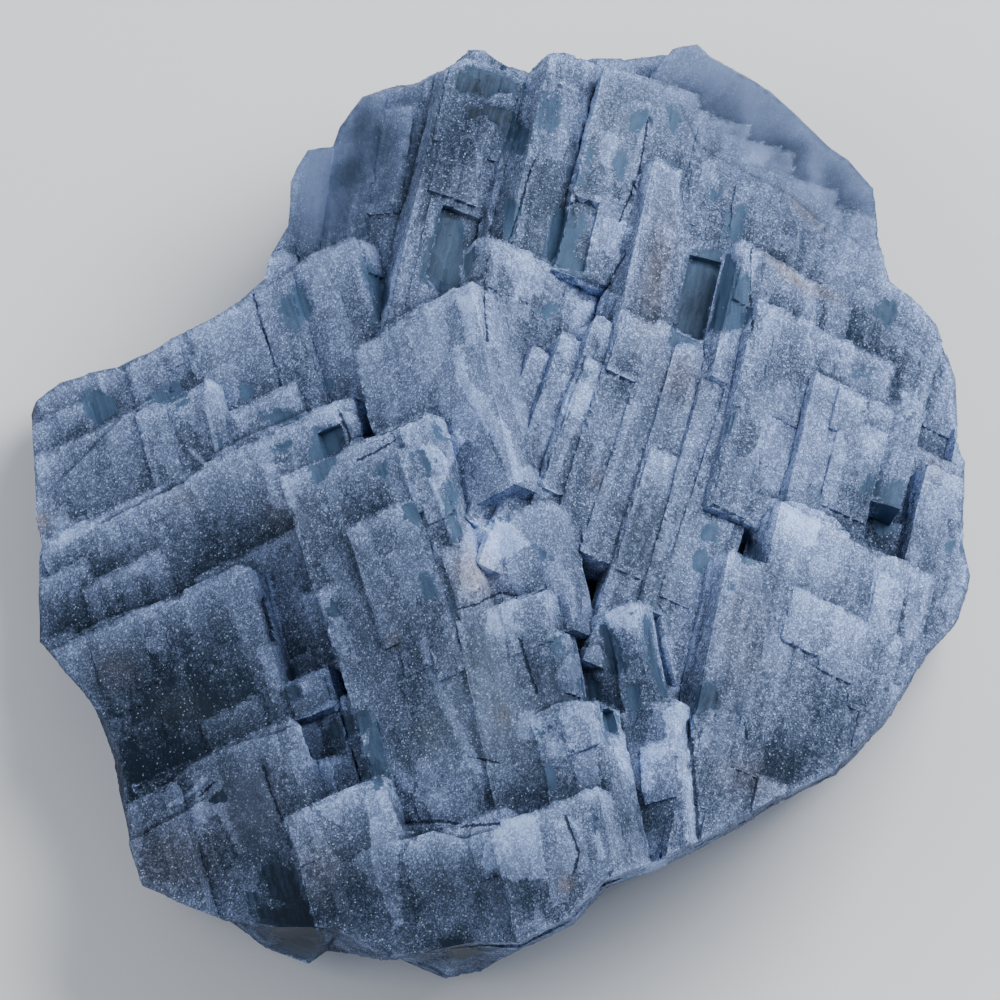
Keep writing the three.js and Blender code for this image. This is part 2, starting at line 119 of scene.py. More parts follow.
# Clear windows in the frost, as outlines in the picture's pixels.
WINDOWS = [
    [(463, 104), (482, 101), (516, 110), (532, 130), (525, 156),
     (503, 151), (500, 132), (486, 114), (463, 124)],
    [(447, 68), (500, 66), (526, 84), (532, 94), (500, 88), (482, 96), (458, 92)],
    [(545, 92), (555, 91), (560, 98), (558, 118), (543, 134), (540, 128)],
    [(583, 150), (590, 144), (593, 152), (588, 162)],
    [(571, 172), (580, 168), (594, 180), (590, 188), (578, 184)],
    [(556, 190), (566, 206), (580, 212), (582, 222), (572, 250),
     (592, 276), (560, 268), (541, 256), (548, 228)],
    [(440, 206), (452, 206), (466, 250), (482, 250), (470, 276),
     (440, 294), (421, 275), (424, 244), (436, 236)],
    [(503, 204), (510, 198), (517, 208), (512, 234), (506, 232)],
    [(360, 256), (372, 262), (392, 284), (392, 300), (372, 334), (364, 330), (372, 298), (360, 268)],
    [(275, 300), (302, 280), (312, 312), (296, 330), (276, 312)],
    [(539, 312), (543, 303), (552, 301), (560, 306), (548, 320)],
    [(722, 214), (745, 206), (742, 234), (734, 243), (720, 230), (726, 222)],
    [(672, 344), (700, 342), (720, 330), (748, 325), (748, 280),
     (730, 250), (705, 250), (690, 256), (676, 310)],
    [(614, 88), (624, 84), (626, 98), (620, 104)],
    [(630, 116), (645, 112), (650, 116), (632, 128)],
    [(666, 102), (680, 104), (682, 118), (676, 134), (670, 132)],
    [(672, 158), (682, 160), (676, 180), (670, 168)],
    [(614, 164), (622, 150), (624, 158), (620, 174)],
    [(712, 188), (720, 184), (718, 200), (710, 208)],
    [(885, 296), (894, 298), (896, 312), (890, 326), (874, 312)],
    [(428, 420), (436, 414), (444, 440), (442, 448), (432, 444)],
    [(412, 456), (422, 452), (430, 468), (428, 474), (418, 466)],
    [(368, 472), (388, 458), (386, 480), (372, 480)],
    [(404, 506), (412, 506), (420, 516), (418, 524), (410, 520)],
    [(446, 496), (450, 484), (462, 482), (457, 500), (464, 534), (458, 540), (452, 520)],
    [(480, 510), (490, 512), (494, 532), (486, 528)],
    [(500, 514), (512, 516), (512, 522), (503, 520)],
    [(536, 546), (542, 548), (548, 558), (540, 560)],
    [(424, 578), (430, 580), (435, 596), (434, 603), (428, 596)],
    [(450, 583), (454, 588), (455, 604), (452, 610)],
    [(576, 370), (586, 368), (590, 374), (584, 380)],
    [(545, 640), (565, 636), (570, 650), (550, 656)],
    [(603, 628), (612, 632), (628, 664), (620, 676), (608, 678), (603, 645)],
    [(596, 702), (602, 698), (618, 700), (618, 724), (610, 740), (604, 742), (599, 714)],
    [(580, 682), (592, 678), (600, 684), (600, 696), (584, 700)],
    [(628, 684), (638, 684), (641, 700), (636, 724), (630, 712)],
    [(644, 626), (652, 610), (660, 660), (672, 690), (668, 704), (656, 690), (646, 660)],
    [(690, 690), (698, 682), (716, 684), (716, 706), (700, 712), (690, 708)],
    [(735, 706), (740, 705), (740, 720), (735, 728)],
    [(538, 730), (545, 724), (556, 722), (553, 732), (542, 736)],
    [(541, 762), (552, 760), (558, 774), (558, 786), (548, 786)],
    [(588, 808), (594, 802), (600, 826), (597, 836), (590, 832)],
    [(373, 726), (378, 722), (388, 768), (390, 778), (384, 786), (368, 784), (364, 764), (374, 738)],
    [(336, 712), (366, 708), (372, 722), (352, 738), (330, 734)],
    [(288, 668), (292, 668), (300, 695), (298, 702), (288, 696)],
    [(268, 864), (276, 857), (300, 876), (304, 900), (276, 905), (268, 898), (262, 878)],
    [(250, 895), (276, 905), (306, 895), (334, 955), (304, 968), (290, 962), (256, 930)],
    [(440, 938), (455, 930), (486, 948), (480, 962), (452, 968), (440, 950)],
    [(350, 945), (378, 944), (400, 956), (372, 956)],
    [(216, 798), (226, 790), (224, 800), (214, 802)],
    [(858, 362), (866, 358), (872, 366), (866, 374), (856, 374)],
    [(862, 490), (876, 470), (882, 482), (880, 496), (868, 498)],
    [(884, 490), (896, 480), (906, 486), (898, 530), (886, 534), (876, 530)],
    [(740, 546), (750, 540), (762, 546), (762, 556), (750, 566), (740, 560)],
    [(702, 530), (712, 528), (718, 540), (700, 540)],
    [(694, 556), (702, 550), (704, 562), (698, 568)],
    [(730, 580), (738, 582), (734, 594), (726, 588)],
    [(948, 548), (964, 540), (968, 552), (954, 558)],
    [(722, 430), (730, 414), (736, 412), (730, 432), (724, 440)],
    [(80, 396), (90, 388), (112, 398), (116, 410), (96, 424), (84, 418)],
    [(150, 398), (165, 386), (186, 384), (189, 396), (168, 410)],
    [(212, 436), (220, 436), (222, 446), (214, 452)],
    [(240, 386), (250, 384), (252, 394), (244, 398)],
    [(252, 416), (262, 412), (290, 412), (300, 420), (256, 424)],
    [(273, 450), (290, 442), (286, 450), (278, 454)],
    [(316, 430), (340, 424), (344, 440), (336, 466), (316, 486), (310, 470)],
    [(322, 380), (332, 378), (334, 388), (324, 392)],
    [(330, 600), (340, 602), (339, 614), (331, 615)],
]

# Thick white frost: how thick it is, from 0 to 1, and its outline in the picture's pixels.
THICK = [
    (0.9, [(458, 300), (474, 296), (480, 345), (466, 348)]),
    (0.5, [(498, 262), (520, 256), (545, 272), (540, 296), (515, 300)]),
    (0.6, [(592, 196), (610, 190), (632, 206), (628, 232), (610, 250), (592, 250)]),
    (0.4, [(560, 104), (600, 100), (606, 128), (585, 142), (562, 138)]),
    (0.6, [(700, 162), (716, 158), (720, 186), (704, 192)]),
    (0.5, [(601, 134), (617, 132), (614, 188), (602, 190)]),
    (0.5, [(856, 290), (874, 286), (878, 308), (860, 312)]),
    (0.6, [(806, 160), (816, 158), (824, 192), (812, 196)]),
    (0.7, [(754, 152), (768, 149), (768, 157), (756, 160)]),
    (0.5, [(880, 320), (900, 322), (906, 344), (888, 346)]),
    (0.9, [(452, 345), (464, 345), (470, 380), (490, 400), (507, 430),
           (522, 480), (512, 486), (486, 430), (458, 380)]),
    (1.0, [(420, 450), (434, 436), (440, 452), (440, 462), (432, 472)]),
    (0.9, [(445, 436), (460, 432), (466, 445), (444, 480), (436, 490), (436, 478)]),
    (0.8, [(560, 372), (590, 385), (592, 405), (580, 420), (565, 415)]),
    (1.0, [(466, 520), (480, 516), (510, 520), (530, 546), (500, 560), (470, 600), (460, 596), (458, 550)]),
    (0.7, [(518, 470), (530, 466), (556, 494), (540, 500)]),
    (0.7, [(600, 610), (640, 605), (636, 636), (610, 626)]),
    (0.5, [(500, 590), (510, 592), (515, 640), (506, 640)]),
    (0.4, [(748, 390), (800, 385), (848, 450), (838, 480), (790, 490), (760, 490)]),
    (0.6, [(820, 434), (845, 430), (848, 452), (838, 478), (824, 476)]),
    (0.9, [(898, 392), (918, 388), (922, 412), (904, 418)]),
    (0.7, [(904, 600), (916, 604), (918, 636), (906, 646)]),
    (0.4, [(866, 560), (896, 556), (902, 590), (872, 594)]),
    (0.6, [(50, 520), (88, 512), (92, 532), (60, 544)]),
    (0.6, [(200, 372), (232, 360), (238, 392), (226, 420), (204, 412)]),
    (0.6, [(264, 466), (298, 458), (306, 490), (290, 512), (268, 506)]),
    (0.6, [(318, 404), (340, 398), (352, 420), (330, 424)]),
    (0.9, [(262, 572), (272, 574), (280, 610), (296, 682), (284, 690), (266, 610)]),
    (0.6, [(258, 648), (280, 646), (286, 684), (274, 700)]),
    (0.9, [(298, 726), (314, 716), (324, 740), (322, 764), (306, 766)]),
    (0.8, [(322, 704), (344, 698), (352, 716), (340, 736), (326, 730)]),
    (0.7, [(298, 690), (304, 682), (312, 686), (306, 695)]),
    (0.5, [(335, 784), (356, 778), (364, 806), (344, 812)]),
    (0.6, [(182, 806), (200, 800), (206, 828), (196, 846)]),
    (0.7, [(214, 806), (224, 800), (244, 850), (236, 856)]),
    (0.6, [(362, 792), (384, 784), (398, 820), (404, 925), (392, 915), (376, 870)]),
    (0.9, [(500, 822), (520, 812), (538, 818), (546, 845), (544, 876), (520, 880), (480, 862)]),
    (0.6, [(560, 706), (590, 698), (606, 740), (594, 744), (588, 722)]),
    (0.6, [(574, 752), (596, 746), (602, 776), (594, 802), (578, 796)]),
    (0.8, [(616, 762), (640, 756), (655, 776), (650, 792), (632, 784)]),
    (0.5, [(604, 744), (640, 738), (664, 744), (662, 762), (620, 762)]),
    (0.8, [(520, 712), (540, 708), (544, 724), (536, 740), (520, 738)]),
    (0.6, [(546, 738), (572, 744), (570, 760), (550, 758)]),
    (0.7, [(640, 860), (664, 852), (668, 866), (645, 872)]),
    (1.0, [(662, 712), (684, 698), (694, 716), (690, 760), (698, 838), (688, 842), (676, 760)]),
    (0.6, [(418, 640), (428, 640), (452, 704), (486, 770), (474, 772), (440, 706)]),
    (0.7, [(486, 612), (500, 620), (514, 640), (500, 640)]),
    (0.5, [(690, 330), (720, 336), (740, 330), (756, 350), (730, 360)]),
]

# Rims of the flat steps, from left to right: how bright each is, and its line in the picture's pixels. Just
# below the line the frost is thickest and also painted brighter as a highlight, and the line's upper side gets
# painted shade.
RIMS = [
    (0.7, [(60, 480), (100, 440), (122, 418), (150, 398)]),
    (0.8, [(208, 458), (240, 440), (300, 414), (340, 400)]),
    (0.9, [(100, 525), (150, 500), (180, 485), (215, 458)]),
    (0.9, [(75, 635), (100, 622), (150, 605), (180, 600), (185, 590), (215, 580), (240, 565), (262, 578)]),
    (0.9, [(165, 790), (185, 770), (205, 758), (245, 742), (275, 735), (300, 725)]),
    (0.8, [(125, 845), (145, 835), (185, 812), (205, 800)]),
    (1.0, [(400, 840), (440, 832), (465, 838), (494, 830)]),
    (0.8, [(538, 714), (552, 706), (570, 700), (592, 702)]),
    (0.6, [(557, 672), (562, 660), (570, 652), (585, 648), (598, 646), (604, 652)]),
    (0.7, [(400, 316), (424, 302), (440, 298), (462, 288), (484, 278)]),
    (0.8, [(530, 254), (548, 264), (584, 278), (600, 284), (616, 294)]),
    (0.6, [(264, 288), (282, 276), (300, 262), (316, 250)]),
    (0.8, [(770, 500), (800, 504), (835, 520), (850, 540), (880, 560)]),
    (0.5, [(840, 655), (852, 662), (870, 672)]),
    (0.5, [(680, 104), (700, 146), (720, 158), (790, 195), (820, 220), (860, 243)]),
]

# Clefts, sunk into the crust and drawn dark as painted shade: half their width in millimetres, and their line
# in the picture's pixels.
CLEFTS = [
    (0.20, [(262, 600), (272, 640)]),
    (0.14, [(355, 436), (385, 432), (410, 420), (422, 416)]),
    (0.12, [(360, 460), (395, 440)]),
    (0.12, [(340, 412), (350, 440)]),
    (0.12, [(460, 608), (480, 602), (500, 592), (520, 596), (545, 588)]),
    (0.10, [(470, 756), (500, 762)]),
    (0.16, [(405, 822), (440, 820), (470, 824), (500, 822)]),
    (0.18, [(520, 640), (526, 664), (536, 692)]),
    (0.24, [(687, 721), (692, 760), (697, 835)]),
    (0.10, [(744, 724), (747, 738)]),
    (0.14, [(565, 815), (578, 850), (572, 872)]),
    (0.07, [(752, 250), (752, 330)]),
    (0.09, [(486, 260), (484, 300), (488, 340)]),
    (0.12, [(200, 795), (214, 782)]),
    (0.12, [(262, 762), (270, 790), (282, 820)]),
    (0.10, [(626, 250), (600, 300), (588, 330)]),
    (0.12, [(534, 160), (528, 176), (522, 200), (508, 240)]),
    (0.10, [(648, 120), (640, 170), (620, 220)]),
]

# Thin bright ribs: half their width in millimetres, and their line in the picture's pixels.
RIBS = [
    (0.25, [(432, 480), (448, 520), (458, 545)]),
    (0.25, [(190, 450), (205, 465)]),
    (0.25, [(170, 806), (188, 796), (206, 780)]),
    (0.15, [(568, 815), (578, 828)]),
    (0.30, [(596, 830), (602, 855)]),
    (0.20, [(208, 412), (216, 450)]),
    (0.20, [(98, 376), (103, 395)]),
    (0.25, [(664, 640), (676, 690)]),
]

# Places where the frost is thicker and whiter, or thinner and darker, and painted shade where the light falls
# off, above all towards the lower left and the bottom: middle pixel, half width, half height, turn in degrees,
# and strength.
TONES_AND_SHADE = [
    (170, 750, 150, 130, 0, -0.55),
    (165, 690, 80, 60, 0, -0.25),
    (140, 780, 50, 40, 0, -0.30),
    (185, 860, 90, 45, 0, -0.30),
    (60, 620, 60, 50, 0, -0.35),
    (300, 930, 80, 36, 0, -0.35),
    (455, 950, 60, 24, 0, -0.50),
    (460, 890, 110, 40, 0, -0.55),
    (350, 890, 50, 60, 0, -0.20),
    (525, 795, 40, 14, 0, -0.35),
    (635, 822, 40, 28, 0, -0.30),
    (230, 560, 110, 50, 20, -0.30),
    (370, 600, 70, 90, 0, -0.25),
    (638, 540, 26, 40, 0, -0.25),
    (410, 700, 50, 80, 0, -0.25),
    (600, 670, 60, 60, 0, -0.25),
    (715, 700, 34, 30, 0, -0.30),
    (770, 770, 110, 44, 30, -0.45),
    (768, 580, 10, 70, 0, -0.25),
    (700, 300, 50, 50, 0, -0.20),
    (870, 500, 30, 50, 0, -0.25),
    (920, 450, 40, 90, 0, 0.10),
    (900, 340, 30, 60, 20, -0.15),
    (450, 200, 50, 110, 0, -0.25),
    (490, 100, 50, 50, 0, -0.30),
    (60, 450, 40, 50, 0, -0.15),
    (380, 390, 60, 40, 0, 0.10),
    (480, 380, 60, 60, 0, 0.20),
    (510, 560, 60, 50, 0, 0.30),
    (850, 600, 70, 50, 0, 0.12),
    (805, 525, 40, 36, -40, 0.30),
    (620, 745, 50, 30, 0, 0.15),
    (620, 150, 60, 60, 0, 0.10),
]

# Milky clear crystal without a crust, in the same form.
MILKY = [
    (785, 130, 160, 52, -38, 1.4),
    (350, 130, 66, 70, 0, 1.2),
    (320, 210, 40, 50, 0, 0.8),
    (250, 806, 26, 40, 0, 0.6),
    (580, 670, 24, 26, 0, 0.5),
]

# Soft veils and clear places inside the milky crystals, in the same form.
VEILS = [
    (300, 170, 26, 26, 0, 0.45),
    (312, 205, 20, 44, 0, 0.25),
    (338, 150, 26, 10, 20, 0.30),
    (372, 128, 34, 40, 15, -0.60),
    (346, 172, 18, 14, 30, -0.45),
    (384, 214, 20, 24, 0, -0.40),
    (376, 206, 10, 5, 20, 0.70),
    (388, 226, 9, 6, 0, 0.55),
    (400, 176, 22, 14, 10, 0.25),
    (404, 110, 20, 14, 0, 0.15),
    (420, 84, 30, 16, 0, -0.30),
    (690, 66, 40, 22, 0, 0.20),
    (754, 112, 12, 34, 10, 0.35),
    (700, 108, 40, 20, 0, -0.15),
    (762, 153, 9, 5, 0, 0.95),
    (786, 152, 18, 20, 20, -0.45),
    (808, 146, 12, 12, 0, -0.35),
    (818, 172, 7, 20, 10, 0.75),
    (836, 172, 20, 18, 0, -0.35),
    (848, 208, 14, 16, 0, -0.55),
    (866, 236, 10, 20, 0, 0.30),
    (822, 112, 30, 8, 40, 0.20),
]

# Warm, rusty and greenish tints, in the same form.
WARM = [
    (474, 575, 20, 26, 20, 0.9),
    (656, 275, 14, 60, -8, 0.6),
    (680, 380, 22, 24, 0, 0.4),
    (806, 211, 24, 6, -42, 1.0),
    (790, 276, 28, 6, -40, 1.0),
    (826, 292, 16, 6, -30, 0.7),
    (38, 521, 10, 10, 0, 0.8),
    (28, 410, 6, 16, 0, 0.8),
    (282, 520, 24, 24, 0, 0.3),
    (170, 860, 50, 34, 0, 0.4),
    (250, 806, 36, 40, 0, 0.35),
    (320, 870, 26, 34, 0, 0.35),
    (118, 670, 24, 20, 0, 0.4),
    (185, 500, 16, 12, 0, 0.3),
    (595, 480, 8, 10, 0, 0.5),
    (566, 882, 8, 10, 0, 0.9),
    (503, 715, 8, 12, 0, 0.6),
    (394, 640, 8, 10, 0, 0.5),
    (745, 775, 34, 22, 0, 0.4),
    (742, 640, 22, 50, 0, 0.25),
    (936, 470, 12, 14, 0, 0.4),
]
GREEN = [
    (485, 670, 34, 60, 10, 0.8),
    (500, 735, 40, 30, 0, 0.4),
    (430, 735, 16, 26, 0, 0.5),
    (180, 708, 40, 20, 0, 0.4),
    (620, 120, 50, 50, 0, 0.4),
    (560, 230, 30, 60, 0, 0.4),
    (460, 240, 30, 50, 0, 0.4),
    (650, 540, 40, 50, 0, 0.3),
]


def to_display(points):
    return (points - DISPLAY_ORIGIN) @ TO_ROW


def to_row(points):
    return points @ TO_ROW.T + DISPLAY_ORIGIN


def cube_axes(turn, lean, roll):
    """A cube's directions in the display frame: up its ridge, and out of its left and right faces."""
    turn, lean = math.radians(turn), math.radians(lean)
    up = Vector((-math.sin(turn) * math.cos(lean), math.cos(turn) * math.cos(lean), -math.sin(lean)))
    facing = Vector((0, 0, 1))
    facing = (facing - up * facing.dot(up)).normalized()
    left = Matrix.Rotation(-math.radians(roll), 3, up) @ facing
    right = Matrix.Rotation(math.radians(90 - roll), 3, up) @ facing
    return np.array([up, left, right])


def new_object(name, data):
    thing = bpy.data.objects.new(name, data)
    bpy.context.scene.collection.objects.link(thing)
    return thing


def mesh_arrays(mesh):
    points = np.empty(len(mesh.vertices) * 3)
    normals = np.empty(len(mesh.vertices) * 3)
    mesh.vertices.foreach_get("co", points)
    mesh.vertices.foreach_get("normal", normals)
    return points.reshape(-1, 3) / MM, normals.reshape(-1, 3)


def apply_modifiers(piece):
    """Bakes a piece's modifiers into its mesh."""
    graph = bpy.context.evaluated_depsgraph_get()
    mesh = bpy.data.meshes.new_from_object(piece.evaluated_get(graph))
    piece.modifiers.clear()
    piece.data = mesh
    return mesh


def fine_surface(source):
    """The crystal's surface in even small faces on the display side, and fewer on the back and sides."""
    piece = new_object("crystal", source.data.copy())
    remesh = piece.modifiers.new("fine", "REMESH")
    remesh.mode = "SHARP"
    remesh.octree_depth = 8
    remesh.scale = max(source.dimensions) / (2**8 * PITCH * MM)
    remesh.use_remove_disconnected = False
    mesh = apply_modifiers(piece)
    points, normals = mesh_arrays(mesh)
    hidden = np.flatnonzero((normals @ TO_ROW)[:, 2] < 0.05)
    group = piece.vertex_groups.new(name="hidden")
    group.add(hidden.tolist(), 1.0, "REPLACE")
    fewer = piece.modifiers.new("fewer", "DECIMATE")
    fewer.ratio = 1 - (1 - BACK_SHARE) * len(hidden) / len(points)
    fewer.vertex_group = "hidden"
    fewer.vertex_group_factor = 10
    apply_modifiers(piece)
    piece.vertex_groups.clear()
    return piece


class Face:
    """The display face of the CAD solid: which crystal face is seen where, and how far its edges are."""

    def __init__(self, source):
        points, _ = mesh_arrays(source.data)
        shown = to_display(points)
        triangles = [tuple(p.vertices) for p in source.data.polygons]
        self.tree = BVHTree.FromPolygons(shown.tolist(), triangles, all_triangles=True)
        corners = shown[np.array(triangles)]
        normals = np.cross(corners[:, 1] - corners[:, 0], corners[:, 2] - corners[:, 0])
        self.normals = normals / np.maximum(np.linalg.norm(normals, axis=1, keepdims=True), 1e-12)
        self.middles = corners.mean(axis=1)
        self.habit = self.nearest_habits()
        self.axes = np.array([cube_axes(*habit[:3]) for habit in HABITS])
        self.cast()
        self.measure_edges()

    def nearest_habits(self):
        costs = []
        for turn, lean, roll, home_x, home_y in HABITS:
            axes = cube_axes(turn, lean, roll)
            off = np.degrees(np.arccos(np.clip(np.abs(self.normals @ axes.T).max(axis=1), 0, 1)))
            away = np.hypot(self.middles[:, 0] - home_x, self.middles[:, 1] - home_y)
            costs.append(off + 0.5 * away)
        return np.argmin(costs, axis=0)

    def cast(self):
        """Looks down at the face on a fine grid."""
        line = np.arange(-MAP_HALF, MAP_HALF + MAP_PITCH / 2, MAP_PITCH)
        self.count = len(line)
        self.depth = np.full((self.count, self.count), NOTHING_SEEN)
        self.seen = np.full((self.count, self.count), -1)
        down = Vector((0, 0, -1))
        for row, y in enumerate(line):
            for column, x in enumerate(line):
                place, _, index, _ = self.tree.ray_cast(Vector((x, y, 100)), down)
                if place is not None:
                    self.depth[row, column] = place.z
                    self.seen[row, column] = index

    def measure_edges(self):
        """For each cell, how far it is up, down, left and right to the edge of the crystal face it lies on,
        and whether the surface falls away there or rises towards the viewer."""
        rows, columns = np.nonzero(self.seen >= 0)
        index = self.seen[rows, columns]
        normal = self.normals[index]
        steep = np.maximum(normal[:, 2], 0.15)
        turn = np.radians(np.array([habit[0] for habit in HABITS])[self.habit[index]])
        up = np.stack([-np.sin(turn), np.cos(turn)], axis=1)
        side = np.stack([np.cos(turn), np.sin(turn)], axis=1)
        start = self.depth[rows, columns]
        self.edges = {}
        for name, way in (("up", up), ("down", -up), ("left", -side), ("right", side)):
            falls = np.full(len(rows), MARCH)
            rises = np.full(len(rows), MARCH)
            open_still = np.ones(len(rows), bool)
            slope = -(normal[:, 0] * way[:, 0] + normal[:, 1] * way[:, 1]) / steep
            for k in range(1, int(MARCH / MAP_PITCH)):
                far = k * MAP_PITCH
                r = np.clip(np.rint(rows + way[:, 1] * k), 0, self.count - 1).astype(int)
                c = np.clip(np.rint(columns + way[:, 0] * k), 0, self.count - 1).astype(int)
                off = self.depth[r, c] - (start + slope * far)
                fell = open_still & (off < -STEP_SEEN)
                rose = open_still & (off > STEP_SEEN)
                falls[fell] = far
                rises[rose] = far
                open_still &= ~(fell | rose)
            for kind, value in (("falls", falls), ("rises", rises)):
                field = np.full(self.depth.shape, MARCH)
                field[rows, columns] = value
                self.edges[name, kind] = field

    def sample(self, field, shown):
        """A grid's value at each point, between its cells."""
        c = np.clip((shown[:, 0] + MAP_HALF) / MAP_PITCH, 0, self.count - 1.001)
        r = np.clip((shown[:, 1] + MAP_HALF) / MAP_PITCH, 0, self.count - 1.001)
        c0, r0 = c.astype(int), r.astype(int)
        fc, fr = c - c0, r - r0
        low = field[r0, c0] * (1 - fc) + field[r0, c0 + 1] * fc
        high = field[r0 + 1, c0] * (1 - fc) + field[r0 + 1, c0 + 1] * fc
        return low * (1 - fr) + high * fr


def signed_distance(points, corners):
    """Each point's distance to a closed outline, positive inside it."""
    nearest = np.full(len(points), np.inf)
    inside = np.zeros(len(points), bool)
    for a, b in zip(corners, np.roll(corners, -1, axis=0)):
        edge = b - a
        share = np.clip((points - a) @ edge / (edge @ edge), 0, 1)
        nearest = np.minimum(nearest, np.linalg.norm(points - a - share[:, None] * edge, axis=1))
        if edge[1]:
            crosses = (a[1] > points[:, 1]) != (b[1] > points[:, 1])
            inside ^= crosses & (points[:, 0] < a[0] + (points[:, 1] - a[1]) * edge[0] / edge[1])
    return np.where(inside, nearest, -nearest)


def near_outline(shown, front, corners, reach):
    """The points on the front that are within reach of a line's box."""
    low, high = corners.min(axis=0) - reach, corners.max(axis=0) + reach
    return np.flatnonzero(front & np.all((shown[:, :2] > low) & (shown[:, :2] < high), axis=1))


def window_field(shown, front):
    """Distance to the nearest window's edge, positive inside the window."""
    field = np.full(len(shown), -3.0)
    for outline in WINDOWS:
        corners = np.array([at(*pixel) for pixel in outline])
        near = near_outline(shown, front, corners, 3)
        field[near] = np.maximum(field[near], signed_distance(shown[near, :2], corners))
    return field


def thick_field(shown, front):
    """Distance to the nearest thick patch's edge, positive inside the patch, and how thick that patch is."""
    field = np.tile([-2.0, 0.0, 0.0], (len(shown), 1))
    for strength, outline in THICK:
        corners = np.array([at(*pixel) for pixel in outline])
        near = near_outline(shown, front, corners, 2)
        distance = signed_distance(shown[near, :2], corners)
        closer = distance > field[near, 0]
        field[near[closer], 0] = distance[closer]
        field[near[closer], 1] = strength
    return field


def line_field(shown, front, lines, reach=9.0):
    """For each point, by its nearest line: the distance, positive on the lower side of a line drawn to the
    right, the same distance without a sign and longer past the line's ends, and the line's own number."""
    field = np.tile([reach, reach, 0.0], (len(shown), 1))
    for number, line in lines:
        corners = np.array([at(*pixel) for pixel in line])
        near = near_outline(shown, front, corners, reach)
        for a, b in zip(corners, corners[1:]):
            edge = b - a
            share = (shown[near, :2] - a) @ edge / (edge @ edge)
            past = np.maximum(np.abs(share - 0.5) - 0.5, 0) * np.linalg.norm(edge)
            off = shown[near, :2] - a - np.clip(share, 0, 1)[:, None] * edge
            side = np.where(edge[0] * off[:, 1] > edge[1] * off[:, 0], -1.0, 1.0)
            distance = np.linalg.norm(off, axis=1)
            far = np.minimum(distance + 2 * past, reach)
            closer = far < field[near, 1]
            picked = near[closer]
            field[picked, 0] = (side * distance)[closer]
            field[picked, 1] = far[closer]
            field[picked, 2] = number
    return field


def spots(shown, places):
    """A soft field of oval places."""
    field = np.zeros(len(shown))
    for px, py, half_wide, half_tall, turn, strength in places:
        x, y = at(px, py)
        t = math.radians(turn)
        dx, dy = shown[:, 0] - x, shown[:, 1] - y
        across = (dx * math.cos(t) + dy * math.sin(t)) / (half_wide / PIXELS_PER_MM)
        along = (-dx * math.sin(t) + dy * math.cos(t)) / (half_tall / PIXELS_PER_MM)
        field += strength * np.exp(-(across**2 + along**2))
    return field


def noise_field(points, size, seed):
    """Smooth noise from -1 to 1 with features of about that size."""
    shift = Vector((seed * 17.3, seed * 5.1, seed * 9.7))
    return np.array([noise.noise(Vector(p) / size + shift) for p in points.tolist()])


def blocks(points, sizes, seed):
    """A random number from 0 to 1 for each block of a staggered wall."""
    u, v, w = (points / np.array(sizes)).T
    column = np.floor(u)
    row = np.floor(v + 0.37 * column)
    layer = np.floor(w)
    mixed = column * 12.9898 + row * 78.233 + layer * 37.719 + seed * 4.1414
    return np.abs(np.sin(mixed) * 43758.5453) % 1.0


def add_field(mesh, name, values):
    kind = "FLOAT" if values.ndim == 1 else "FLOAT_VECTOR"
    field = mesh.attributes.new(name, kind, "POINT")
    field.data.foreach_set("value" if values.ndim == 1 else "vector", values.astype(np.float32).ravel())


def growth_places(face, shown):
    """The habit of the crystal face nearest to each point, and the point's place in that cube's own
    directions: across its growth, along it, and out of the face."""
    nearest = np.array([face.tree.find_nearest(Vector(p))[2] for p in shown.tolist()])
    habit = face.habit[nearest]
    flat = face.normals[nearest]
    up = face.axes[habit, 0]
    along = up - flat * np.sum(up * flat, axis=1, keepdims=True)
    length = np.linalg.norm(along, axis=1, keepdims=True)
    along = np.where(length > 0.2, along / np.maximum(length, 1e-9), face.axes[habit, 1])
    across = np.cross(flat, along)
    return habit, np.stack([np.sum(shown * way, axis=1) for way in (across, along, flat)], axis=1)


def edge_shares(face, shown, front):
    """How near each point is to the edges of its crystal face, from 0 to about 1, for each kind of edge."""
    edge = {key: face.sample(field, shown) for key, field in face.edges.items()}
    top_falls = edge["up", "falls"]
    side_falls = np.minimum(edge["left", "falls"], edge["right", "falls"])
    side_rises = np.minimum(edge["left", "rises"], edge["right", "rises"])
    # The rim and ridge shares brighten the frost along the top and side edges, partly as thicker frost and
    # partly as a painted highlight; the foot and groove shares place painted shade at the feet of the steps and
    # in the inner corners at the sides.
    shares = {
        "rim": 0.75 * np.exp(-top_falls / 2.0) + 0.4 * np.exp(-top_falls / 7.0),
        "foot": np.exp(-edge["down", "rises"] / 3.0),
        "ridge": np.exp(-side_falls / 0.7),
        "brink": np.exp(-np.minimum(side_falls, top_falls) / 0.8),
        "groove_shade": np.exp(-side_rises / 0.7),
    }
    return {name: share * front for name, share in shares.items()}


def mark_fields(shown, front, facing):
    """The marks that have their own places. A window ends where the surface turns away."""
    turned_away = np.clip(WINDOW_FACING - facing, 0, 1)
    return {
        "window": np.where(front, window_field(shown, front) - 3 * turned_away, -3.0),
        "thick": thick_field(shown, front),
        "rims": line_field(shown, front, RIMS),
        "clefts": line_field(shown, front, CLEFTS, 2.0),
        "ribs": line_field(shown, front, RIBS, 2.0),
        "tone": spots(shown, TONES_AND_SHADE) * front,
        "milky": np.clip(spots(shown, MILKY), 0, 1) * front,
        "veils": spots(shown, VEILS) * front,
        "warm": np.clip(spots(shown, WARM), 0, 1) * front,
        "green": np.clip(spots(shown, GREEN), 0, 1) * front,
    }


